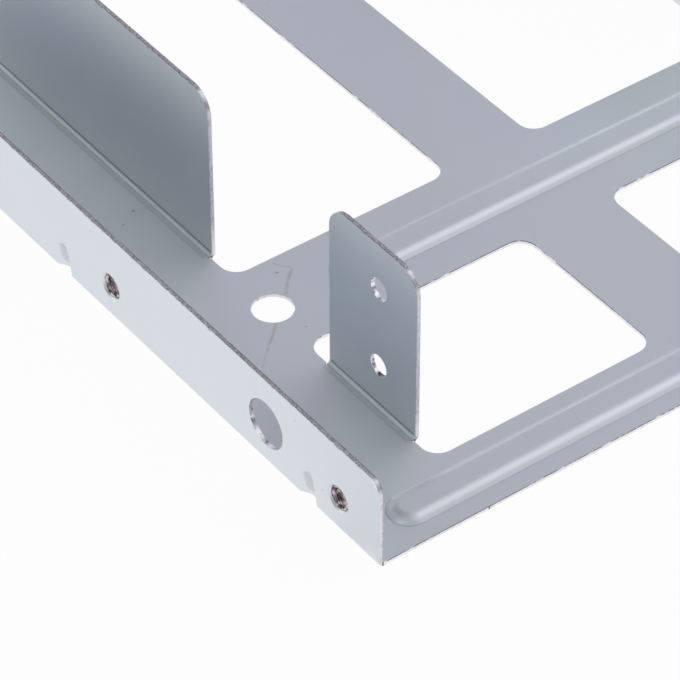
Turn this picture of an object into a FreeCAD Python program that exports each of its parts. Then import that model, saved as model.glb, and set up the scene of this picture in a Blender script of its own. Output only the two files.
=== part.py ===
import FreeCAD, Part
import math
import os

# One folded sheet that carries two narrow drives, one above the other, inside a wide bay.
# X runs across the bracket, Y runs back along its side flanges and Z is up.
# The origin is in the middle of the footprint, on the underside of the sheet. Sizes are in mm.

V = FreeCAD.Vector

# Sheet and outer size
SHEET = 0.5
WIDTH = 101.0
FLANGE_HEIGHT = 11.7
BEND_INSIDE = 0.15
FLANGE_CORNER = 1.8

# Frame of the flat base: a spine down the middle and strips across it
SPINE_WIDTH = 12.0
END_STRIP = 9.1
MIDDLE_STRIP_FRONT = 31.9
MIDDLE_STRIP_BACK = 45.7
SIDE_STRIP = 14.1
WINDOW_CORNER = 2.2

# Tabs bent up from the windows, one short and one long on each side
TAB_FACE = 14.4
TAB_HEIGHT = 23.0
TAB_BEND_INSIDE = 0.5
TAB_CORNER = 3.0
TAB_RELIEF = 0.25
SHORT_TAB_START = 12.7
SHORT_TAB_END = 27.9
LONG_TAB_START = 50.0

# Drive screw holes in the tabs, in two levels. The long tab ends a margin behind the last one.
DRIVE_HOLE = 2.8
DRIVE_HOLE_FIRST = 19.2
DRIVE_HOLE_PITCH = 76.6
DRIVE_HOLE_TO_TAB_END = 6.8
DRIVE_HOLE_LOW = 6.3
DRIVE_HOLE_STEP = 10.7

# Bay screw holes in the flanges, with a drawn collar that is tapped. The bracket ends a margin
# behind the last one.
BAY_HOLE = 2.8
BAY_HOLE_FIRST = 7.0
BAY_HOLE_SHORT_PITCH = 41.6
BAY_HOLE_LONG_PITCH = 101.6
BAY_HOLE_TO_BACK = 6.8
BAY_HOLE_HEIGHT = 4.4
BAY_HOLE_ENTRY = 0.3
COLLAR = 4.1
COLLAR_DEPTH = 1.3

# Round hole in each flange through which a screwdriver reaches the lower drive screw
ACCESS_HOLE = 6.0
ACCESS_HOLE_FROM_FRONT = 19.7
ACCESS_HOLE_HEIGHT = 5.5

# Round hole in the flat base beside the middle rib
BASE_HOLE = 4.9
BASE_HOLE_FROM_SIDE = 14.7

# Ribs pressed up out of the strips, open underneath
RIB_WIDTH = 4.8
RIB_TOP_WIDTH = 3.2
RIB_HEIGHT = 0.75
RIB_SHOULDER_ROUND = 1.5
END_RIB_FROM_SIDE = 4.9
MIDDLE_RIB_FROM_SIDE = 23.0

# Darts pressed into the flange bend from outside with a round punch. Each starts at a height on
# the flange and is deepest at the underside, and its outline on the flange is an arch.
DART_HALF_WIDTH = 1.7
DART_TOP = 5.0
DART_DEPTH = 1.0
DART_PLACES = (12.4, 58.15, 102.1)

# Values that follow from the ones above
DEPTH = BAY_HOLE_FIRST + BAY_HOLE_LONG_PITCH + BAY_HOLE_TO_BACK
LONG_TAB_END = DRIVE_HOLE_FIRST + DRIVE_HOLE_PITCH + DRIVE_HOLE_TO_TAB_END
HALF_WIDTH = WIDTH / 2
FRONT = -DEPTH / 2
BACK = DEPTH / 2
BEND_OUTSIDE = BEND_INSIDE + SHEET
TAB_BEND_OUTSIDE = TAB_BEND_INSIDE + SHEET
RIB_RUN = (RIB_WIDTH - RIB_TOP_WIDTH) / 2
RIB_SLOPE = math.atan2(RIB_HEIGHT, RIB_RUN)
RIB_UNDERSIDE_INSET = SHEET * math.tan(RIB_SLOPE / 2)
MIDDLE_STRIP_CENTRE = (MIDDLE_STRIP_FRONT + MIDDLE_STRIP_BACK) / 2
DART_REACH = DART_TOP * DART_DEPTH / math.hypot(DART_TOP, DART_DEPTH)
DART_RADIUS = (DART_HALF_WIDTH ** 2 + DART_REACH ** 2) / (2 * DART_REACH)
PAST = 1.0


def from_front(distance):
    """Y of a place at a distance behind the front edge."""
    return FRONT + distance


def from_side(distance):
    """X of a place at a distance inside the left outer face."""
    return -HALF_WIDTH + distance


def rounded_face(corners):
    """Flat face through corners, each a point with the radius of its rounding."""
    edges = []
    starts = []
    ends = []
    middles = []
    count = len(corners)
    for index, (point, radius) in enumerate(corners):
        before = corners[index - 1][0]
        after = corners[(index + 1) % count][0]
        if radius <= 0:
            starts.append(point)
            ends.append(point)
            middles.append(None)
            continue
        back = (before - point).normalize()
        ahead = (after - point).normalize()
        half = back.getAngle(ahead) / 2
        reach = radius / math.tan(half)
        inward = (back + ahead).normalize()
        gap = radius / math.sin(half) - radius
        starts.append(point + back * reach)
        ends.append(point + ahead * reach)
        middles.append(point + inward * gap)
    for index in range(count):
        if middles[index] is not None:
            arc = Part.Arc(starts[index], middles[index], ends[index])
            edges.append(arc.toShape())
        following = starts[(index + 1) % count]
        if (following - ends[index]).Length > 1e-6:
            edges.append(Part.makeLine(ends[index], following))
    return Part.Face(Part.Wire(edges))


def both_sides(shapes):
    """The given shapes and their mirror images on the other side of the spine."""
    mirrored = [shape.mirror(V(0, 0, 0), V(1, 0, 0)) for shape in shapes]
    return list(shapes) + mirrored


def folded_channel():
    """Base with its two side flanges, as one bent section drawn out along Y."""
    inner = HALF_WIDTH - SHEET
    section = rounded_face([
        (V(-HALF_WIDTH, FRONT, FLANGE_HEIGHT), 0),
        (V(-HALF_WIDTH, FRONT, 0), BEND_OUTSIDE),
        (V(HALF_WIDTH, FRONT, 0), BEND_OUTSIDE),
        (V(HALF_WIDTH, FRONT, FLANGE_HEIGHT), 0),
        (V(inner, FRONT, FLANGE_HEIGHT), 0),
        (V(inner, FRONT, SHEET), BEND_INSIDE),
        (V(-inner, FRONT, SHEET), BEND_INSIDE),
        (V(-inner, FRONT, FLANGE_HEIGHT), 0),
    ])
    return section.extrude(V(0, DEPTH, 0))


def corner_waste(y, z, toward, radius, x_start, x_end):
    """What a rounded top corner loses; toward is the sense of Y that leads to the metal."""
    corner = V(x_start, y, z)
    along = corner + V(0, toward * radius, 0)
    below = corner + V(0, 0, -radius)
    centre = corner + V(0, toward * radius, -radius)
    middle = centre + (corner - centre).normalize() * radius
    outer = corner + V(0, -toward * PAST, PAST)
    edges = [
        Part.Arc(along, middle, below).toShape(),
        Part.makeLine(below, below + V(0, -toward * PAST, 0)),
        Part.makeLine(below + V(0, -toward * PAST, 0), outer),
        Part.makeLine(outer, along + V(0, 0, PAST)),
        Part.makeLine(along + V(0, 0, PAST), along),
    ]
    return Part.Face(Part.Wire(edges)).extrude(V(x_end - x_start, 0, 0))


def flange_corner_waste():
    """Rounding of the four upper corners of the flanges."""
    left = -HALF_WIDTH - PAST
    right = HALF_WIDTH + PAST
    return [
        corner_waste(FRONT, FLANGE_HEIGHT, 1, FLANGE_CORNER, left, right),
        corner_waste(BACK, FLANGE_HEIGHT, -1, FLANGE_CORNER, left, right),
    ]


def window(y_start, y_end):
    """One window of the base on the left of the spine, as the solid it removes."""
    left = from_side(SIDE_STRIP)
    right = -SPINE_WIDTH / 2
    outline = rounded_face([
        (V(left, y_start, -PAST), WINDOW_CORNER),
        (V(right, y_start, -PAST), WINDOW_CORNER),
        (V(right, y_end, -PAST), WINDOW_CORNER),
        (V(left, y_end, -PAST), WINDOW_CORNER),
    ])
    return outline.extrude(V(0, 0, SHEET + 2 * PAST))


def windows():
    """The four windows of the base."""
    return both_sides([
        window(from_front(END_STRIP), from_front(MIDDLE_STRIP_FRONT)),
        window(from_front(MIDDLE_STRIP_BACK), BACK - END_STRIP),
    ])


def tab_slot(start, end):
    """Clearance cut back to the line where a tab starts to bend, with its relief notches."""
    bend_start = from_side(TAB_FACE - TAB_BEND_INSIDE)
    length = end - start + 2 * TAB_RELIEF
    width = SIDE_STRIP - TAB_FACE + TAB_BEND_INSIDE + PAST
    corner = V(bend_start, from_front(start) - TAB_RELIEF, -PAST)
    return Part.makeBox(width, length, SHEET + 2 * PAST, corner)


def tab(start, end):
    """Tab bent up from the edge of the left window, before its holes are made."""
    face = from_side(TAB_FACE)
    root = face - TAB_BEND_INSIDE - SHEET
    y = from_front(start)
    section = rounded_face([
        (V(root, y, 0), 0),
        (V(face + SHEET, y, 0), TAB_BEND_OUTSIDE),
        (V(face + SHEET, y, TAB_HEIGHT), 0),
        (V(face, y, TAB_HEIGHT), 0),
        (V(face, y, SHEET), TAB_BEND_INSIDE),
        (V(root, y, SHEET), 0),
    ])
    plate = section.extrude(V(0, end - start, 0))
    left = face - PAST
    right = face + SHEET + PAST
    waste = [
        corner_waste(y, TAB_HEIGHT, 1, TAB_CORNER, left, right),
        corner_waste(from_front(end), TAB_HEIGHT, -1, TAB_CORNER, left, right),
    ]
    return plate.cut(waste)


def drive_holes(distance):
    """The two drive screw holes, one above the other, that a tab has at one distance."""
    holes = []
    for level in range(2):
        height = DRIVE_HOLE_LOW + level * DRIVE_HOLE_STEP
        centre = V(from_side(TAB_FACE) - PAST, from_front(distance), height)
        holes.append(Part.makeCylinder(DRIVE_HOLE / 2, SHEET + 2 * PAST, centre, V(1, 0, 0)))
    return holes


def bay_hole_places():
    """Centres of the tapped holes on the left outer face."""
    distances = (
        BAY_HOLE_FIRST,
        BAY_HOLE_FIRST + BAY_HOLE_SHORT_PITCH,
        BAY_HOLE_FIRST + BAY_HOLE_LONG_PITCH,
    )
    return [V(-HALF_WIDTH, from_front(distance), BAY_HOLE_HEIGHT) for distance in distances]


def collar(place):
    """Short collar drawn inward from the flange round a tapped hole."""
    return Part.makeCylinder(COLLAR / 2, COLLAR_DEPTH, place, V(1, 0, 0))


def bay_hole(place):
    """Bore of a tapped hole with its drawn-in entry."""
    start = place - V(PAST, 0, 0)
    bore = Part.makeCylinder(BAY_HOLE / 2, COLLAR_DEPTH + 2 * PAST, start, V(1, 0, 0))
    wide = BAY_HOLE / 2 + BAY_HOLE_ENTRY
    entry = Part.makeCone(wide, BAY_HOLE / 2, BAY_HOLE_ENTRY, place, V(1, 0, 0))
    return bore.fuse(entry)


def access_hole():
    """Screwdriver hole through the left flange."""
    start = V(-HALF_WIDTH - PAST, from_front(ACCESS_HOLE_FROM_FRONT), ACCESS_HOLE_HEIGHT)
    return Part.makeCylinder(ACCESS_HOLE / 2, SHEET + 2 * PAST, start, V(1, 0, 0))


def base_hole():
    """Round hole in the base, on the centre line of the middle strip."""
    start = V(from_side(BASE_HOLE_FROM_SIDE), from_front(MIDDLE_STRIP_CENTRE), -PAST)
    return Part.makeCylinder(BASE_HOLE / 2, SHEET + 2 * PAST, start, V(0, 0, 1))


def bead(foot, low, top, high, shoulder, closing, half_length, y):
    """Long bar with round ends, from half width foot at height low to half width top at high."""
    start = -half_length
    half = rounded_face([
        (V(start, 0, closing), 0),
        (V(start, foot, closing), 0),
        (V(start, foot, low), 0),
        (V(start, top, high), shoulder),
        (V(start, 0, high), 0),
    ])
    left_end = half.revolve(V(start, 0, 0), V(0, 0, 1), 180)
    right_end = left_end.mirror(V(0, 0, 0), V(1, 0, 0))
    far_side = half.extrude(V(2 * half_length, 0, 0))
    near_side = far_side.mirror(V(0, 0, 0), V(0, 1, 0))
    bar = far_side.fuse([near_side, left_end, right_end]).removeSplitter()
    bar.translate(V(0, y, 0))
    return bar


def rib_metal(half_length, y):
    """Upper side of a rib, standing on the sheet."""
    foot = RIB_WIDTH / 2
    top = RIB_TOP_WIDTH / 2
    high = SHEET + RIB_HEIGHT
    return bead(foot, SHEET, top, high, RIB_SHOULDER_ROUND, SHEET / 2, half_length, y)


def rib_groove(half_length, y):
    """Open groove under a rib, which keeps the sheet one thickness all over."""
    foot = RIB_WIDTH / 2 - RIB_UNDERSIDE_INSET
    top = RIB_TOP_WIDTH / 2 - RIB_UNDERSIDE_INSET
    inner_round = RIB_SHOULDER_ROUND - SHEET
    return bead(foot, 0, top, RIB_HEIGHT, inner_round, -PAST, half_length, y)


def rib_places():
    """Half length between end centres, and Y, of the front, middle and rear ribs."""
    long_half = HALF_WIDTH - END_RIB_FROM_SIDE - RIB_WIDTH / 2
    middle_half = HALF_WIDTH - MIDDLE_RIB_FROM_SIDE - RIB_WIDTH / 2
    return [
        (long_half, from_front(END_STRIP / 2)),
        (middle_half, from_front(MIDDLE_STRIP_CENTRE)),
        (long_half, BACK - END_STRIP / 2),
    ]


def dart_bar(distance, extra):
    """Round bar that leans along the valley of a dart in the lower left bend."""
    valley = V(DART_DEPTH, 0, -DART_TOP).normalize()
    deep = V(DART_TOP, 0, DART_DEPTH).normalize()
    axis = V(-HALF_WIDTH, from_front(distance), 0) + deep * (DART_REACH - DART_RADIUS)
    start = axis - valley * (2 * DART_TOP)
    return Part.makeCylinder(DART_RADIUS + extra, 4 * DART_TOP, start, valley)


def dart_metal(distance):
    """Inner wall of a dart, kept inside the corner of the flange and the base."""
    size = 2 * DART_TOP
    corner = V(-HALF_WIDTH + SHEET / 2, from_front(distance) - size / 2, SHEET / 2)
    room = Part.makeBox(size, size, size, corner)
    return dart_bar(distance, SHEET).common(room)


def bracket():
    """The whole bracket."""
    tabs = [(SHORT_TAB_START, SHORT_TAB_END), (LONG_TAB_START, LONG_TAB_END)]
    body = folded_channel()
    body = body.cut(windows() + flange_corner_waste())
    body = body.cut(both_sides([tab_slot(start, end) for start, end in tabs]))
    body = body.fuse(both_sides([tab(start, end) for start, end in tabs]))
    body = body.fuse(both_sides([collar(place) for place in bay_hole_places()]))
    body = body.fuse(both_sides([dart_metal(distance) for distance in DART_PLACES]))
    body = body.cut(both_sides([dart_bar(distance, 0) for distance in DART_PLACES]))
    body = body.fuse([rib_metal(half, y) for half, y in rib_places()])
    body = body.cut([rib_groove(half, y) for half, y in rib_places()])
    bores = [bay_hole(place) for place in bay_hole_places()]
    bores += drive_holes(DRIVE_HOLE_FIRST)
    bores += drive_holes(DRIVE_HOLE_FIRST + DRIVE_HOLE_PITCH)
    bores += [access_hole(), base_hole()]
    body = body.cut(both_sides(bores))
    return body.removeSplitter().Solids[0]


os.makedirs("parts", exist_ok=True)
solid = bracket()
box = solid.optimalBoundingBox()
print("valid", solid.isValid(), "volume", round(solid.Volume, 1), "faces", len(solid.Faces))
print("size", round(box.XLength, 3), round(box.YLength, 3), round(box.ZLength, 3))
solid.exportStep("parts/bay_adapter_bracket.step")
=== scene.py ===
"""Drive bay adapter bracket: the folded sheet in its zinc coat, on a plain studio floor.

Everything is in metres in the row frame: X across the bracket, Y back along its flanges, Z up, and
the origin in the middle of the footprint on the underside. Sizes below are given in millimetres.
"""

import logging
import math
from dataclasses import dataclass
from enum import Enum

import bmesh
import bpy
from mathutils import Matrix, Vector


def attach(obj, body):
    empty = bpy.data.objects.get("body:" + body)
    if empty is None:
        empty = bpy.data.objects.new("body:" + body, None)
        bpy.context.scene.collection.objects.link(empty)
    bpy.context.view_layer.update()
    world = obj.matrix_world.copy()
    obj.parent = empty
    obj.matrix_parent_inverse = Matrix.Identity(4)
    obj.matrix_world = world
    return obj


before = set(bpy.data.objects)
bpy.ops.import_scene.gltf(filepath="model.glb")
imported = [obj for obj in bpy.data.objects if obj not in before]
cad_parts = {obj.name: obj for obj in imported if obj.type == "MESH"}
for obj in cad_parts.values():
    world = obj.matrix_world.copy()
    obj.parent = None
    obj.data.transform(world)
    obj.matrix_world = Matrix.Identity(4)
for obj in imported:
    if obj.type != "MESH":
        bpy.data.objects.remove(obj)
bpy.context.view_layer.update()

LOG = logging.getLogger("bracket")
MM = 0.001
BODY = "root"
NODE = "bay_adapter_bracket"

Colour = tuple[float, float, float, float]
Point = tuple[float, float, float]

SHEET = 0.5
HALF_WIDTH = 50.5
HALF_DEPTH = 57.7
FLANGE_HEIGHT = 11.7
TAB_HEIGHT = 23.0
TAB_OUTSIDE = 36.1

# Distances from the front edge: where each tab starts and ends, and the middles of the others.
TAB_RUNS = ((13.0, 27.6), (50.3, 102.3))
DART_PLACES = (12.4, 58.15, 102.1)
BAY_HOLES = (7.0, 48.6, 108.6)
# The same for each rib's middle line, with the reach of that line to either side.
RIBS = ((4.55, 43.2), (38.8, 25.1), (110.85, 43.2))

# The colour sockets of a mix node. Its number sockets have the same names.
MIX_FROM, MIX_TO, MIX_RESULT = 6, 7, 2


class Region(Enum):
    """What a face of the sheet shows, and the place of its material on the node."""

    COAT = 0
    SHEAR = 1
    TORN = 2
    PUNCH = 3
    END = 4


class Side(Enum):
    """The side of the bracket that a detail is on, as the sign of X."""

    LEFT = -1
    RIGHT = 1


def linear(code: str) -> Colour:
    """Turns an sRGB hex colour to linear light.

    Args:
        code: The colour as #RRGGBB.

    Returns:
        Red, green, blue and an alpha of 1, in linear light.
    """
    parts = [int(code[i : i + 2], 16) / 255 for i in (1, 3, 5)]
    light = [c / 12.92 if c <= 0.04045 else ((c + 0.055) / 1.055) ** 2.4 for c in parts]
    return (light[0], light[1], light[2], 1.0)


def add_node(
    tree: bpy.types.NodeTree,
    kind: str,
    settings: dict[str, object] | None = None,
    inputs: dict[str | int, object] | None = None,
) -> bpy.types.Node:
    """Adds a node with its settings and links.

    Args:
        tree: The node tree of a material or a world.
        kind: Blender's name for the node.
        settings: Properties of the node and their values.
        inputs: For each input, by name or number, a constant or the output that feeds it.

    Returns:
        The new node.
    """
    node = tree.nodes.new(kind)
    for name, value in (settings or {}).items():
        setattr(node, name, value)
    for key, value in (inputs or {}).items():
        socket = node.inputs[key]
        if isinstance(value, bpy.types.NodeSocket):
            tree.links.new(value, socket)
        else:
            socket.default_value = value
    return node


def new_tree(name: str) -> tuple[bpy.types.Material, bpy.types.NodeTree, bpy.types.NodeSocket]:
    """Starts a node material.

    Args:
        name: The material's name.

    Returns:
        The material, its empty tree, and its position in millimetres of the row frame.
    """
    material = bpy.data.materials.new(name)
    material.use_nodes = True
    tree = material.node_tree
    tree.nodes.clear()
    place = add_node(tree, "ShaderNodeTexCoord").outputs["Object"]
    scaled = add_node(
        tree, "ShaderNodeVectorMath", {"operation": "SCALE"}, {0: place, "Scale": 1 / MM}
    )
    return material, tree, scaled.outputs["Vector"]


@dataclass(frozen=True)
class Patches:
    """An uneven pattern, as dirt, rubbed film or torn metal has it.

    The number per millimetre sets its grain, and the band is the part of the noise that fades
    from weak to strong.
    """

    per_mm: float
    detail: float
    band: tuple[float, float]
    weak: float = 0.0
    strong: float = 1.0

    def mask(
        self, tree: bpy.types.NodeTree, place: bpy.types.NodeSocket
    ) -> bpy.types.NodeSocket:
        """Adds the nodes of the pattern.

        Args:
            tree: The material's tree.
            place: Position in millimetres.

        Returns:
            The pattern's strength.
        """
        noise = add_node(
            tree,
            "ShaderNodeTexNoise",
            {},
            {"Vector": place, "Scale": self.per_mm, "Detail": self.detail},
        )
        return add_node(
            tree,
            "ShaderNodeMapRange",
            {},
            {
                "Value": noise.outputs[0],
                "From Min": self.band[0],
                "From Max": self.band[1],
                "To Min": self.weak,
                "To Max": self.strong,
            },
        ).outputs[0]


@dataclass(frozen=True)
class Stroke:
    """A short line on the sheet, such as one stretch of a stain or a scratch.

    With a radius it is the outline that stays that far from the line on all sides.
    """

    start: Point
    end: Point
    width: float
    softness: float = 0.1
    strength: float = 1.0
    radius: float = 0.0

    def mask(
        self, tree: bpy.types.NodeTree, place: bpy.types.NodeSocket
    ) -> bpy.types.NodeSocket:
        """Adds the nodes that show where the line is.

        Args:
            tree: The material's tree.
            place: Position in millimetres.

        Returns:
            The line's strength on it and 0 away from it.
        """
        start, end = Vector(self.start), Vector(self.end)
        along = end - start
        offset = add_node(
            tree, "ShaderNodeVectorMath", {"operation": "SUBTRACT"}, {0: place, 1: start}
        )
        reach = add_node(
            tree,
            "ShaderNodeVectorMath",
            {"operation": "DOT_PRODUCT"},
            {0: offset.outputs[0], 1: along},
        )
        share = add_node(
            tree,
            "ShaderNodeMath",
            {"operation": "DIVIDE", "use_clamp": True},
            {0: reach.outputs["Value"], 1: along.length_squared},
        )
        foot = add_node(
            tree,
            "ShaderNodeVectorMath",
            {"operation": "MULTIPLY_ADD"},
            {0: share.outputs[0], 1: along, 2: start},
        )
        gap = add_node(
            tree, "ShaderNodeVectorMath", {"operation": "DISTANCE"}, {0: place, 1: foot.outputs[0]}
        ).outputs["Value"]
        if self.radius:
            beyond = add_node(
                tree, "ShaderNodeMath", {"operation": "SUBTRACT"}, {0: gap, 1: self.radius}
            )
            gap = add_node(
                tree, "ShaderNodeMath", {"operation": "ABSOLUTE"}, {0: beyond.outputs[0]}
            ).outputs[0]
        half = self.width / 2
        return add_node(
            tree,
            "ShaderNodeMapRange",
            {"interpolation_type": "SMOOTHSTEP"},
            {
                "Value": gap,
                "From Min": half,
                "From Max": half + self.softness,
                "To Min": self.strength,
                "To Max": 0.0,
            },
        ).outputs[0]


def cover(
    tree: bpy.types.NodeTree,
    place: bpy.types.NodeSocket,
    lines: tuple[Stroke, ...],
    patches: Patches | None = None,
) -> bpy.types.NodeSocket:
    """Joins the masks of several lines.

    Args:
        tree: The material's tree.
        place: Position in millimetres.
        lines: The lines.
        patches: The pattern that breaks them up, if any.

    Returns:
        The joint mask.
    """
    mask = lines[0].mask(tree, place)
    for line in lines[1:]:
        mask = add_node(
            tree, "ShaderNodeMath", {"operation": "MAXIMUM"}, {0: mask, 1: line.mask(tree, place)}
        ).outputs[0]
    if patches:
        mask = add_node(
            tree,
            "ShaderNodeMath",
            {"operation": "MULTIPLY"},
            {0: mask, 1: patches.mask(tree, place)},
        ).outputs[0]
    return mask


def on_base(
    points: tuple[tuple[float, float], ...], width: float, softness: float, strength: float
) -> tuple[Stroke, ...]:
    """Lines up points on the top of the base as strokes.

    Args:
        points: Distance from the left side and from the front edge of each point.
        width: Width of the line.
        softness: How far its edge fades out.
        strength: How strongly it covers the coat.

    Returns:
        A stroke for each pair of neighbours.
    """
    places = [(x - HALF_WIDTH, y - HALF_DEPTH, SHEET) for x, y in points]
    return tuple(Stroke(a, b, width, softness, strength) for a, b in zip(places, places[1:]))


def on_flange(
    y: float, z: float, width: float, strength: float, length: float = 0.05
) -> Stroke:
    """Puts a speck on the outer face of the left flange.

    Args:
        y: Distance from the front edge.
        z: Height.
        width: Width of the speck.
        strength: How strongly it covers the coat.
        length: How far it is drawn out upwards.

    Returns:
        The speck.
    """
    x, back = -HALF_WIDTH, y - HALF_DEPTH
    return Stroke((x, back, z), (x, back, z + length), width, softness=0.12, strength=strength)


def along_tabs(
    x: float, z: float, width: float, softness: float, strength: float
) -> tuple[Stroke, ...]:
    """Lines up a stroke beside every tab.

    Args:
        x: Distance from the middle of the bracket.
        z: Height.
        width: Width of the line.
        softness: How far its edge fades out.
        strength: How strongly it covers the coat.

    Returns:
        A stroke for each tab.
    """
    runs = [(side.value * x, a - HALF_DEPTH, b - HALF_DEPTH) for side in Side for a, b in TAB_RUNS]
    return tuple(
        Stroke((across, front, z), (across, back, z), width, softness, strength)
        for across, front, back in runs
    )


def along_ribs(
    offset: float, z: float, width: float, softness: float, strength: float, radius: float = 0.0
) -> tuple[Stroke, ...]:
    """Lines up a stroke with every rib.

    Args:
        offset: Distance behind the rib's middle.
        z: Height.
        width: Width of the line.
        softness: How far its edge fades out.
        strength: How strongly it covers the coat.
        radius: For an outline, how far it stays from the line.

    Returns:
        A stroke for each rib.
    """
    places = [(middle + offset - HALF_DEPTH, half) for middle, half in RIBS]
    return tuple(
        Stroke((-half, y, z), (half, y, z), width, softness, strength, radius)
        for y, half in places
    )


# The dried trickle on both sides of the left base hole. It thins out towards the flange.
TRICKLE = (
    *on_base(((20.1, 42.7), (19.1, 41.9), (17.2, 39.9)), width=0.12, softness=0.26, strength=0.62),
    *on_base(((13.4, 36.5), (12.1, 35.2), (10.1, 33.5)), width=0.08, softness=0.24, strength=0.58),
    *on_base(((10.1, 33.5), (8.1, 31.6)), width=0.02, softness=0.2, strength=0.4),
)

# The fine scratch that the trickle starts from, four specks on the base and four on the flange.
SPECKS = (
    *on_base(
        ((19.1, 44.9), (19.6, 44.0), (20.3, 43.3), (20.3, 42.9)),
        width=0.01,
        softness=0.12,
        strength=0.22,
    ),
    *on_base(((18.45, 43.4), (18.65, 43.3)), width=0.08, softness=0.14, strength=0.5),
    *on_base(((11.75, 61.75), (11.9, 61.7)), width=0.12, softness=0.15, strength=0.55),
    *on_base(((9.5, 60.4), (9.6, 60.3)), width=0.08, softness=0.12, strength=0.5),
    *on_base(((15.7, 34.15), (15.8, 34.1)), width=0.06, softness=0.1, strength=0.5),
    on_flange(13.1, 2.3, width=0.12, strength=0.6),
    on_flange(12.5, 4.2, width=0.12, strength=0.55),
    on_flange(9.7, 3.6, width=0.1, strength=0.3),
    on_flange(14.45, 9.9, width=0.1, strength=0.3),
)

# A darker patchy mark on the outside of each dart in the flanges.
DART_MARKS = tuple(
    Stroke(
        (side.value * (HALF_WIDTH - 0.35), dart + 0.2 - HALF_DEPTH, 3.2),
        (side.value * (HALF_WIDTH - 0.75), dart + 0.3 - HALF_DEPTH, 1.4),
        width=0.85,
        softness=0.5,
    )
    for side in Side
    for dart in DART_PLACES
)

# Painted shade in the creases: on the base where each tab's bend starts, on its bend, just above
# its foot, and as a fine line round the foot of each rib.
PAINTED_CREASE_SHADE = (
    *along_tabs(TAB_OUTSIDE + 0.9, SHEET, width=0.02, softness=0.3, strength=0.3),
    *along_tabs(TAB_OUTSIDE + 0.32, 0.6, width=0.36, softness=0.16, strength=0.24),
    *along_tabs(TAB_OUTSIDE, 0.97, width=0.06, softness=0.15, strength=1.0),
    *along_ribs(0.0, SHEET, width=0.04, softness=0.1, strength=0.36, radius=2.42),
)

# Painted highlights: at each tab's foot, on each rib's back shoulder, and at the front corner of
# the left flange.
PAINTED_HIGHLIGHTS = (
    *along_tabs(TAB_OUTSIDE + 0.09, 0.71, width=0.02, softness=0.09, strength=0.6),
    *along_ribs(2.0, 0.75, width=1.0, softness=0.2, strength=1.0),
    Stroke(
        (-HALF_WIDTH, 0.6 - HALF_DEPTH, 11.0),
        (-HALF_WIDTH, 1.25 - HALF_DEPTH, 11.5),
        width=0.3,
        softness=0.22,
        strength=0.9,
    ),
)


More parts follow.
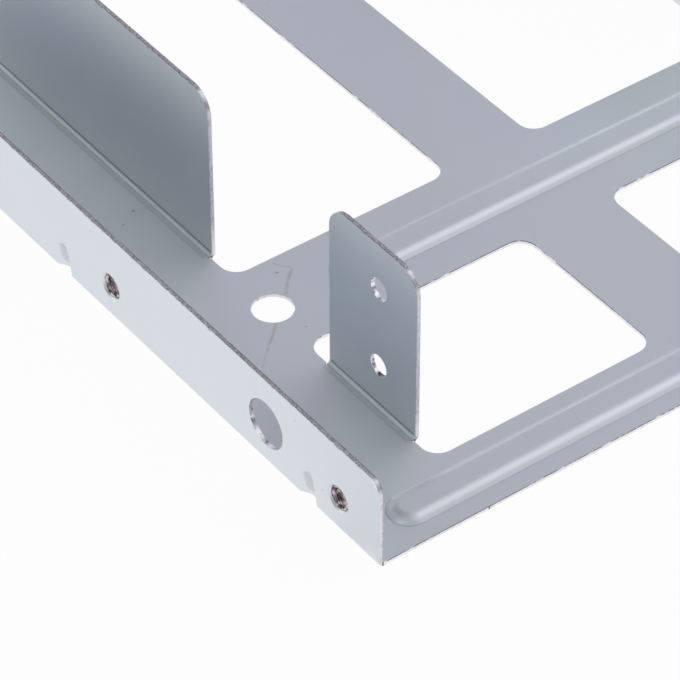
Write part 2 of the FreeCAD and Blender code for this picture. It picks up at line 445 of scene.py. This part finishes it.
@dataclass(frozen=True)
class ZincCoat:
    """Electro-galvanised steel sheet with a clear passivated film.

    The thin zinc layer is satin: it mirrors the studio softly, and its film gives it a faint blue.
    The press and the shelf have left a fine burr along the top edges, a dried trickle and a few
    specks on it, and each dart carries a darker patchy mark. Painted shade darkens its creases,
    and painted highlights lighten lines at the tab feet, on the rib shoulders and at a flange
    corner.
    The zinc's own crystals are too fine to show, so its grain is drawn as coarse as it needs to
    be.
    """

    name: str = "electro_galvanised_steel"
    colour: str = "#E5EAF1"
    cloud_colour: str = "#E1E7EE"
    metallic: float = 1.0
    roughness: float = 0.48
    cloud_size: float = 14.0
    grain_size: float = 0.16
    grain_strength: float = 0.05
    grain_depth: float = 0.02
    edge_radius: float = 0.06
    # The colour of the painted shade in the creases.
    crease_shade_colour: str = "#A9AEB6"
    stain_colour: str = "#BAB096"
    stain_patches: Patches = Patches(1.4, 2.0, (0.35, 0.65), weak=0.25, strong=0.8)
    mark_colour: str = "#7A767C"
    # The colour of the darker patchy mark at each dart.
    dart_mark_colour: str = "#8F939B"
    dart_mark_patches: Patches = Patches(9.0, 3.0, (0.38, 0.68), weak=0.08, strong=0.5)
    # The colour of the painted highlights.
    highlight_colour: str = "#F4F8FF"
    burr_colour: str = "#A39FA8"
    burr_strength: float = 0.55
    # The burr goes down from the top edge by the swing times its noise plus the floor, so it is
    # broken where that is below 0. It never goes beyond its reach.
    burr_per_mm: float = 1.3
    burr_swing: float = 1.1
    burr_floor: float = -0.52
    burr_reach: float = 0.3

    def build(self) -> bpy.types.Material:
        """Builds the material."""
        material, tree, place = new_tree(self.name)
        clouds = add_node(
            tree,
            "ShaderNodeTexNoise",
            {},
            {"Vector": place, "Scale": 1 / self.cloud_size, "Detail": 3.0},
        )
        colour = add_node(
            tree,
            "ShaderNodeMix",
            {"data_type": "RGBA"},
            {
                0: clouds.outputs[0],
                MIX_FROM: linear(self.colour),
                MIX_TO: linear(self.cloud_colour),
            },
        ).outputs[MIX_RESULT]
        marks = (
            # Painted shade in the creases.
            (cover(tree, place, PAINTED_CREASE_SHADE), self.crease_shade_colour),
            (cover(tree, place, TRICKLE, self.stain_patches), self.stain_colour),
            (cover(tree, place, SPECKS), self.mark_colour),
            (cover(tree, place, DART_MARKS, self.dart_mark_patches), self.dart_mark_colour),
            (self.burrs(tree, place), self.burr_colour),
            # Painted highlights.
            (cover(tree, place, PAINTED_HIGHLIGHTS), self.highlight_colour),
        )
        for mask, tint in marks:
            colour = add_node(
                tree,
                "ShaderNodeMix",
                {"data_type": "RGBA"},
                {0: mask, MIX_FROM: colour, MIX_TO: linear(tint)},
            ).outputs[MIX_RESULT]
        shader = add_node(
            tree,
            "ShaderNodeBsdfPrincipled",
            {},
            {
                "Base Color": colour,
                "Metallic": self.metallic,
                "Roughness": self.roughness,
                "Normal": self.relief(tree, place),
            },
        )
        add_node(tree, "ShaderNodeOutputMaterial", {}, {"Surface": shader.outputs[0]})
        return material

    def relief(
        self, tree: bpy.types.NodeTree, place: bpy.types.NodeSocket
    ) -> bpy.types.NodeSocket:
        """Adds the grain of the coat and the small rounding of its edges.

        Args:
            tree: The material's tree.
            place: Position in millimetres.

        Returns:
            The normal of the surface.
        """
        grain = add_node(
            tree,
            "ShaderNodeTexNoise",
            {},
            {"Vector": place, "Scale": 1 / self.grain_size, "Detail": 2.0},
        )
        rounded = add_node(
            tree, "ShaderNodeBevel", {"samples": 4}, {"Radius": self.edge_radius * MM}
        )
        return add_node(
            tree,
            "ShaderNodeBump",
            {},
            {
                "Strength": self.grain_strength,
                "Distance": self.grain_depth * MM,
                "Height": grain.outputs[0],
                "Normal": rounded.outputs[0],
            },
        ).outputs[0]

    def burrs(
        self, tree: bpy.types.NodeTree, place: bpy.types.NodeSocket
    ) -> bpy.types.NodeSocket:
        """Masks the fine broken burr along the top edges of the flanges and tabs.

        Args:
            tree: The material's tree.
            place: Position in millimetres.

        Returns:
            The strength of the burr.
        """
        where = add_node(tree, "ShaderNodeSeparateXYZ", {}, {0: place})
        across = add_node(
            tree, "ShaderNodeMath", {"operation": "ABSOLUTE"}, {0: where.outputs["X"]}
        )
        ragged = add_node(
            tree,
            "ShaderNodeTexNoise",
            {},
            {"Vector": place, "Scale": self.burr_per_mm, "Detail": 4.0},
        )
        rim = add_node(
            tree,
            "ShaderNodeMath",
            {"operation": "MULTIPLY_ADD"},
            {0: ragged.outputs[0], 1: self.burr_swing, 2: self.burr_floor},
        )
        edges = []
        for top, wall in ((FLANGE_HEIGHT, HALF_WIDTH), (TAB_HEIGHT, TAB_OUTSIDE)):
            on_wall = add_node(
                tree,
                "ShaderNodeMath",
                {"operation": "COMPARE"},
                {0: across.outputs[0], 1: wall, 2: 2 * SHEET},
            )
            depth = add_node(
                tree, "ShaderNodeMath", {"operation": "SUBTRACT"}, {0: top, 1: where.outputs["Z"]}
            )
            near = add_node(
                tree,
                "ShaderNodeMath",
                {"operation": "COMPARE"},
                {0: depth.outputs[0], 1: 0.0, 2: self.burr_reach},
            )
            inside = add_node(
                tree,
                "ShaderNodeMath",
                {"operation": "LESS_THAN"},
                {0: depth.outputs[0], 1: rim.outputs[0]},
            )
            edge = on_wall.outputs[0]
            for limit in (near, inside):
                edge = add_node(
                    tree,
                    "ShaderNodeMath",
                    {"operation": "MULTIPLY"},
                    {0: edge, 1: limit.outputs[0]},
                ).outputs[0]
            edges.append(edge)
        both = add_node(
            tree, "ShaderNodeMath", {"operation": "MAXIMUM"}, {0: edges[0], 1: edges[1]}
        )
        return add_node(
            tree,
            "ShaderNodeMath",
            {"operation": "MULTIPLY"},
            {0: both.outputs[0], 1: self.burr_strength},
        ).outputs[0]


@dataclass(frozen=True)
class CutSteel:
    """Bare low-carbon steel where the blanking die cut the sheet.

    Most of the cut is burnished bright, part of it is torn and dull, and a thin dark line of
    dirt stays where the cut meets the coat.
    """

    name: str
    colour: str
    dark_colour: str
    roughness: float
    dark_share: float
    streak_size: float
    streak_blur: float = 0.12
    rim_colour: str = "#55525A"
    rim_strength: float = 0.0
    # How far the line of dirt reaches from the coat: on a cut of the base, and on a wall's end.
    rim_reach: float = 0.15
    wall_reach: float = 0.1

    def build(self) -> bpy.types.Material:
        """Builds the material."""
        material, tree, place = new_tree(self.name)
        band = (self.dark_share - self.streak_blur, self.dark_share + self.streak_blur)
        streaks = Patches(1 / self.streak_size, 4.0, band)
        steel = add_node(
            tree,
            "ShaderNodeMix",
            {"data_type": "RGBA"},
            {
                0: streaks.mask(tree, place),
                MIX_FROM: linear(self.dark_colour),
                MIX_TO: linear(self.colour),
            },
        ).outputs[MIX_RESULT]
        colour = add_node(
            tree,
            "ShaderNodeMix",
            {"data_type": "RGBA"},
            {0: self.rim(tree, place), MIX_FROM: steel, MIX_TO: linear(self.rim_colour)},
        ).outputs[MIX_RESULT]
        shader = add_node(
            tree,
            "ShaderNodeBsdfPrincipled",
            {},
            {"Base Color": colour, "Metallic": 1.0, "Roughness": self.roughness},
        )
        add_node(tree, "ShaderNodeOutputMaterial", {}, {"Surface": shader.outputs[0]})
        return material

    def rim(
        self, tree: bpy.types.NodeTree, place: bpy.types.NodeSocket
    ) -> bpy.types.NodeSocket:
        """Masks the line of dirt: high on a cut of the base, along one side of a wall's end.

        Args:
            tree: The material's tree.
            place: Position in millimetres.

        Returns:
            The strength of the line, broken up along its length.
        """
        where = add_node(tree, "ShaderNodeSeparateXYZ", {}, {0: place})
        across = add_node(
            tree, "ShaderNodeMath", {"operation": "ABSOLUTE"}, {0: where.outputs["X"]}
        ).outputs[0]
        high = add_node(
            tree,
            "ShaderNodeMath",
            {"operation": "COMPARE"},
            {0: where.outputs["Z"], 1: SHEET, 2: self.rim_reach},
        )
        clear = add_node(
            tree,
            "ShaderNodeMath",
            {"operation": "LESS_THAN"},
            {0: across, 1: HALF_WIDTH - 2 * SHEET},
        )
        line = add_node(
            tree,
            "ShaderNodeMath",
            {"operation": "MULTIPLY"},
            {0: high.outputs[0], 1: clear.outputs[0]},
        ).outputs[0]
        for wall in (HALF_WIDTH - SHEET, TAB_OUTSIDE):
            upright = add_node(
                tree,
                "ShaderNodeMath",
                {"operation": "COMPARE"},
                {0: across, 1: wall, 2: self.wall_reach},
            )
            line = add_node(
                tree, "ShaderNodeMath", {"operation": "MAXIMUM"}, {0: line, 1: upright.outputs[0]}
            ).outputs[0]
        breaks = Patches(0.9, 3.0, (0.32, 0.5), strong=self.rim_strength)
        return add_node(
            tree,
            "ShaderNodeMath",
            {"operation": "MULTIPLY"},
            {0: line, 1: breaks.mask(tree, place)},
        ).outputs[0]


@dataclass(frozen=True)
class TappedSteel:
    """Low-carbon steel freshly cut by the tap, with a trace of dark cutting oil.

    It is bright where the tap cut clean and brown where the oil stayed, so the hole looks dark
    with bright ridges.
    """

    name: str = "tapped_low_carbon_steel"
    colour: str = "#CEC0C5"
    oil_colour: str = "#625458"
    roughness: float = 0.24
    oil: Patches = Patches(1.6, 3.0, (0.4, 0.6))

    def build(self) -> bpy.types.Material:
        """Builds the material, or returns the one that another thread has built."""
        made = bpy.data.materials.get(self.name)
        if made:
            return made
        material, tree, place = new_tree(self.name)
        colour = add_node(
            tree,
            "ShaderNodeMix",
            {"data_type": "RGBA"},
            {
                0: self.oil.mask(tree, place),
                MIX_FROM: linear(self.oil_colour),
                MIX_TO: linear(self.colour),
            },
        ).outputs[MIX_RESULT]
        shader = add_node(
            tree,
            "ShaderNodeBsdfPrincipled",
            {},
            {"Base Color": colour, "Metallic": 1.0, "Roughness": self.roughness},
        )
        add_node(tree, "ShaderNodeOutputMaterial", {}, {"Surface": shader.outputs[0]})
        return material


@dataclass(frozen=True)
class SoftBox:
    """A large lamp behind a diffuser, far from the bracket.

    The direction is an azimuth from +X and an elevation, both in degrees. A higher focus makes the
    patch of light smaller.
    """

    azimuth: float
    elevation: float
    focus: float
    strength: float
    colour: str = "#F6FAFF"

    def glow(
        self, tree: bpy.types.NodeTree, way: bpy.types.NodeSocket
    ) -> bpy.types.NodeSocket:
        """Adds the nodes of this lamp to the world.

        Args:
            tree: The world's tree.
            way: The direction that is looked up.

        Returns:
            The light that comes from that direction.
        """
        turn, rise = math.radians(self.azimuth), math.radians(self.elevation)
        aim = (math.cos(rise) * math.cos(turn), math.cos(rise) * math.sin(turn), math.sin(rise))
        facing = add_node(
            tree, "ShaderNodeVectorMath", {"operation": "DOT_PRODUCT"}, {0: way, 1: aim}
        )
        front = add_node(
            tree,
            "ShaderNodeMath",
            {"operation": "MAXIMUM"},
            {0: facing.outputs["Value"], 1: 0.0},
        )
        spot = add_node(
            tree, "ShaderNodeMath", {"operation": "POWER"}, {0: front.outputs[0], 1: self.focus}
        )
        tint = [part * self.strength for part in linear(self.colour)[:3]]
        return add_node(
            tree,
            "ShaderNodeVectorMath",
            {"operation": "SCALE"},
            {0: tint, "Scale": spot.outputs[0]},
        ).outputs[0]


@dataclass
class Studio:
    """White floor, soft light and the camera of the photograph.

    The floor's size and the camera's place are in metres. Seen directly, in a mirror or through
    glass, the floor shows its own white; otherwise it is plain paper that takes the shadow.
    """

    floor_size: float = 8.0
    floor_drop: float = 0.02 * MM
    floor_white: float = 0.965
    paper: Colour = (0.85, 0.85, 0.85, 1.0)
    white: Colour = (1.0, 1.0, 1.0, 1.0)
    room_level: float = 0.174
    below_level: float = 1.0
    # Azimuth, elevation, focus, strength and colour of each.
    boxes: tuple[SoftBox, ...] = (
        SoftBox(90, 6, 12, 0.71, "#FFFDE9"),
        SoftBox(135, 6, 12, 1.21, "#E8FBF1"),
        SoftBox(0, 30, 12, 1.07, "#FBFFE2"),
        SoftBox(45, 30, 12, 0.32, "#EAE6FF"),
        SoftBox(135, 30, 12, 0.58, "#FFF9E8"),
        SoftBox(-135, 30, 12, 0.44, "#BCFED2"),
        SoftBox(-45, 30, 12, 0.29, "#DBE3FF"),
        SoftBox(0, 55, 12, 0.61, "#DFDDFF"),
        SoftBox(-120, 55, 12, 0.25, "#FBE4F6"),
        SoftBox(-60, 55, 12, 0.52, "#FFF8E8"),
        SoftBox(-10, 30, 60, 1.02, "#F8F0FF"),
        SoftBox(65, 30, 60, 0.57, "#EAECFF"),
        SoftBox(-35, 45, 60, 0.47, "#FFE5F8"),
        SoftBox(-10, 45, 60, 0.70, "#F2E3FF"),
        SoftBox(130, 15, 60, 0.50, "#E6F2FA"),
        SoftBox(200, 75, 60, 0.35),
    )
    sensor: float = 36.0
    lens: float = 211.34
    clip: tuple[float, float] = (0.01, 50.0)
    camera_place: Point = (-0.226451, -0.28828, 0.290378)
    right: Point = (0.801916, -0.597432, -0.002308)
    down: Point = (-0.39932, -0.533115, -0.745877)
    ahead: Point = (0.44438, 0.599052, -0.66608)

    def build(self) -> None:
        """Sets up the whole studio."""
        bpy.context.scene.view_settings.view_transform = "Standard"
        self.floor()
        self.world()
        self.camera()

    def floor(self) -> None:
        """Makes the white floor, which keeps a soft shadow of the bracket."""
        mesh = bpy.data.meshes.new("floor")
        half = self.floor_size / 2
        corners = ((-half, -half), (half, -half), (half, half), (-half, half))
        mesh.from_pydata([(x, y, -self.floor_drop) for x, y in corners], [], [(0, 1, 2, 3)])
        plane = bpy.data.objects.new("floor", mesh)
        bpy.context.scene.collection.objects.link(plane)
        mesh.materials.append(self.floor_finish())

    def floor_finish(self) -> bpy.types.Material:
        """Builds the floor's white, which is clear from below."""
        material, tree, _ = new_tree("white_floor")
        ray = add_node(tree, "ShaderNodeLightPath")
        seen = ray.outputs["Is Camera Ray"]
        for kind in ("Is Glossy Ray", "Is Transmission Ray"):
            seen = add_node(
                tree, "ShaderNodeMath", {"operation": "MAXIMUM"}, {0: seen, 1: ray.outputs[kind]}
            ).outputs[0]
        share = add_node(
            tree, "ShaderNodeMath", {"operation": "MULTIPLY"}, {0: seen, 1: self.floor_white}
        )
        paper = add_node(tree, "ShaderNodeBsdfDiffuse", {}, {"Color": self.paper})
        white = add_node(
            tree, "ShaderNodeEmission", {}, {"Color": self.white, "Strength": 1.0}
        )
        mixed = add_node(
            tree,
            "ShaderNodeMixShader",
            {},
            {0: share.outputs[0], 1: paper.outputs[0], 2: white.outputs[0]},
        )
        below = add_node(tree, "ShaderNodeNewGeometry").outputs["Backfacing"]
        clear = add_node(tree, "ShaderNodeBsdfTransparent")
        one_way = add_node(
            tree, "ShaderNodeMixShader", {}, {0: below, 1: mixed.outputs[0], 2: clear.outputs[0]}
        )
        add_node(tree, "ShaderNodeOutputMaterial", {}, {"Surface": one_way.outputs[0]})
        return material

    def world(self) -> None:
        """Makes the dim room of the studio with its soft boxes, and white below the horizon."""
        world = bpy.data.worlds.new("studio")
        bpy.context.scene.world = world
        world.use_nodes = True
        tree = world.node_tree
        tree.nodes.clear()
        way = add_node(tree, "ShaderNodeTexCoord").outputs["Generated"]
        height = add_node(tree, "ShaderNodeSeparateXYZ", {}, {0: way}).outputs["Z"]
        below = add_node(
            tree, "ShaderNodeMath", {"operation": "LESS_THAN"}, {0: height, 1: 0.0}
        )
        light = add_node(
            tree,
            "ShaderNodeMapRange",
            {},
            {"Value": below.outputs[0], "To Min": self.room_level, "To Max": self.below_level},
        ).outputs[0]
        for box in self.boxes:
            light = add_node(
                tree,
                "ShaderNodeVectorMath",
                {"operation": "ADD"},
                {0: light, 1: box.glow(tree, way)},
            ).outputs[0]
        sky = add_node(tree, "ShaderNodeBackground", {}, {0: light})
        add_node(tree, "ShaderNodeOutputWorld", {}, {0: sky.outputs[0]})

    def camera(self) -> None:
        """Sets the camera where the photograph was taken from."""
        data = bpy.data.cameras.new("camera")
        data.sensor_width = self.sensor
        data.lens = self.lens
        data.clip_start, data.clip_end = self.clip
        camera = bpy.data.objects.new("camera", data)
        bpy.context.scene.collection.objects.link(camera)
        right, down, ahead = Vector(self.right), Vector(self.down), Vector(self.ahead)
        turn = Matrix((right, -down, -ahead)).transposed()
        camera.matrix_world = Matrix.Translation(Vector(self.camera_place)) @ turn.to_4x4()
        bpy.context.scene.camera = camera


@dataclass
class FoldedSheet:
    """The bracket's own sheet, shown by its solid and dressed face by face.

    Its zones are distances from the middle plane, and distances along are from the front edge. A
    hole in the flange is given as distance along, height and radius, and a hole in the base as
    distance from the middle plane, distance along and radius. Edge on, facing and square are
    limits for the part of a face's normal that lies along an axis.
    """

    access_hole: Point = (19.7, 5.5, 3.0)
    base_hole: Point = (35.8, 38.8, 2.45)
    flange_from: float = HALF_WIDTH - SHEET - 0.1
    tab_from: float = 34.0
    base_to: float = 49.6
    dart_from: float = 43.0
    dart_top: float = 9.0
    dart_reach: float = 4.0
    corner_round: float = 3.4
    margin: float = 0.1
    hair: float = 0.01
    edge_on: float = 0.2
    facing: float = 0.9
    square: float = 0.99
    finishes: tuple[ZincCoat | CutSteel, ...] = (
        ZincCoat(),
        # The cuts of the base, burnished bright by the die.
        CutSteel(
            "sheared_low_carbon_steel",
            "#F1F0F7",
            "#D9D6E0",
            roughness=0.4,
            dark_share=0.36,
            streak_size=0.6,
            rim_strength=0.9,
        ),
        # The tops of the walls, torn and dull.
        CutSteel(
            "torn_low_carbon_steel",
            "#D4D1D9",
            "#938F99",
            roughness=0.5,
            dark_share=0.47,
            streak_size=0.24,
            rim_strength=0.5,
        ),
        # The walls of the pierced holes, shiny with dark streaks.
        CutSteel(
            "punched_low_carbon_steel",
            "#F3F1F6",
            "#645C59",
            roughness=0.26,
            dark_share=0.42,
            streak_size=1.1,
            streak_blur=0.06,
        ),
        # The upright ends of the walls, trimmed clean.
        CutSteel(
            "trimmed_low_carbon_steel",
            "#E2E1E9",
            "#CAC8D1",
            roughness=0.42,
            dark_share=0.4,
            streak_size=0.5,
            rim_strength=0.4,
        ),
    )

    def build(self) -> bpy.types.Object:
        """Dresses the node and returns it."""
        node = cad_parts[NODE]
        mesh = node.data
        mesh.materials.clear()
        for finish in self.finishes:
            mesh.materials.append(finish.build())
        cut = 0
        for polygon in mesh.polygons:
            region = self.region(polygon.center / MM, polygon.normal)
            polygon.material_index = region.value
            cut += region is not Region.COAT
        LOG.info("%s: %d faces, %d of them cut", NODE, len(mesh.polygons), cut)
        return node

    def region(self, place: Vector, normal: Vector) -> Region:
        """Says what a face shows.

        Args:
            place: The face's middle, in millimetres.
            normal: The way it faces.

        Returns:
            The region of the sheet.
        """
        x, y, z = abs(place.x), place.y + HALF_DEPTH, place.z
        on_flange_wall = x > self.flange_from
        on_tab = self.tab_from < x < TAB_OUTSIDE + self.margin
        at_end = abs(place.y) > HALF_DEPTH - self.hair
        if x > self.dart_from and z < self.dart_top:
            if any(abs(y - dart) < self.dart_reach for dart in DART_PLACES):
                return Region.COAT
        if abs(normal.x) < self.edge_on and z > SHEET + self.hair and (on_flange_wall or on_tab):
            if on_flange_wall and self.at_hole(y, z, self.access_hole):
                return Region.PUNCH
            top = FLANGE_HEIGHT if on_flange_wall else TAB_HEIGHT
            if z < top - self.corner_round and abs(normal.y) < self.square and not at_end:
                return Region.PUNCH
            return Region.TORN if normal.z > self.facing else Region.END
        if abs(normal.z) < self.edge_on and z < SHEET and x < self.base_to:
            return Region.END if self.at_hole(x, y, self.base_hole) else Region.SHEAR
        if abs(normal.y) > self.facing and at_end:
            return Region.SHEAR if z < SHEET else Region.END
        return Region.COAT

    def at_hole(self, first: float, second: float, hole: Point) -> bool:
        """Says whether a place, in the two distances of a hole, lies on the wall of that hole."""
        return math.hypot(first - hole[0], second - hole[1]) < hole[2] + self.margin


@dataclass
class TappedThread:
    """The thread cut in the collar of one bay screw hole.

    Crest and slope give the flat and the flank of its ridges, as shares of half a pitch.
    """

    side: Side
    distance: float
    height: float = 4.4
    major: float = 2.76
    minor: float = 2.26
    pitch: float = 0.794
    start: float = 0.12
    length: float = 1.14
    crest: float = 1.35
    slope: float = 1.7
    skin: float = 0.01
    points_a_turn: int = 56
    points_a_pitch: int = 12

    def build(self) -> bpy.types.Object:
        """Builds the threaded sleeve just inside the bore and returns it."""
        mesh = bpy.data.meshes.new("thread")
        shell = bmesh.new()
        rows = round(self.length / self.pitch * self.points_a_pitch)
        rings = [self.ring(shell, row * self.length / rows) for row in range(rows + 1)]
        outside = [
            self.circle(shell, depth, self.major / 2 + self.skin) for depth in (self.length, 0.0)
        ]
        loops = [*rings, *outside, rings[0]]
        for before, after in zip(loops, loops[1:]):
            for index in range(self.points_a_turn):
                ahead = (index + 1) % self.points_a_turn
                shell.faces.new((before[index], before[ahead], after[ahead], after[index]))
        bmesh.ops.recalc_face_normals(shell, faces=shell.faces)
        for face in shell.faces:
            face.smooth = True
        shell.to_mesh(mesh)
        shell.free()
        mesh.materials.append(TappedSteel().build())
        piece = bpy.data.objects.new(
            f"thread_{self.side.name.lower()}_{round(self.distance)}", mesh
        )
        bpy.context.scene.collection.objects.link(piece)
        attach(piece, BODY)
        LOG.info("%s: %d faces", piece.name, len(mesh.polygons))
        return piece

    def ring(self, shell: bmesh.types.BMesh, depth: float) -> list[bmesh.types.BMVert]:
        """Adds the ring of points that the thread has at one depth.

        Args:
            shell: The mesh that is being built.
            depth: Depth below the start of the thread.

        Returns:
            The points in order.
        """
        points = []
        for index in range(self.points_a_turn):
            turn = index / self.points_a_turn
            phase = (depth / self.pitch - turn) % 1.0
            rise = min(1.0, max(0.0, self.crest - abs(2 * phase - 1) * self.slope))
            radius = self.major / 2 - rise * (self.major - self.minor) / 2
            points.append(self.point(shell, depth, radius, turn))
        return points

    def circle(
        self, shell: bmesh.types.BMesh, depth: float, radius: float
    ) -> list[bmesh.types.BMVert]:
        """Adds a plain ring of points for the sleeve's hidden outside.

        Args:
            shell: The mesh that is being built.
            depth: Depth below the start of the thread.
            radius: The ring's radius.

        Returns:
            The points in order.
        """
        count = self.points_a_turn
        return [self.point(shell, depth, radius, index / count) for index in range(count)]

    def point(
        self, shell: bmesh.types.BMesh, depth: float, radius: float, turn: float
    ) -> bmesh.types.BMVert:
        """Adds one point of the sleeve.

        Args:
            shell: The mesh that is being built.
            depth: Depth below the start of the thread.
            radius: Distance from the hole's axis.
            turn: Share of a turn round the axis.

        Returns:
            The point.
        """
        x = self.side.value * (HALF_WIDTH - self.start - depth)
        y = self.distance - HALF_DEPTH + radius * math.cos(2 * math.pi * turn)
        z = self.height + radius * math.sin(2 * math.pi * turn)
        return shell.verts.new((x * MM, y * MM, z * MM))


def main() -> None:
    """Builds the studio and the bracket, and reports each piece."""
    logging.basicConfig(level=logging.INFO, format="%(message)s")
    Studio().build()
    FoldedSheet().build()
    for side in Side:
        for distance in BAY_HOLES:
            TappedThread(side, distance).build()
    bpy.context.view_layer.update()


if __name__ == "__main__":
    main()
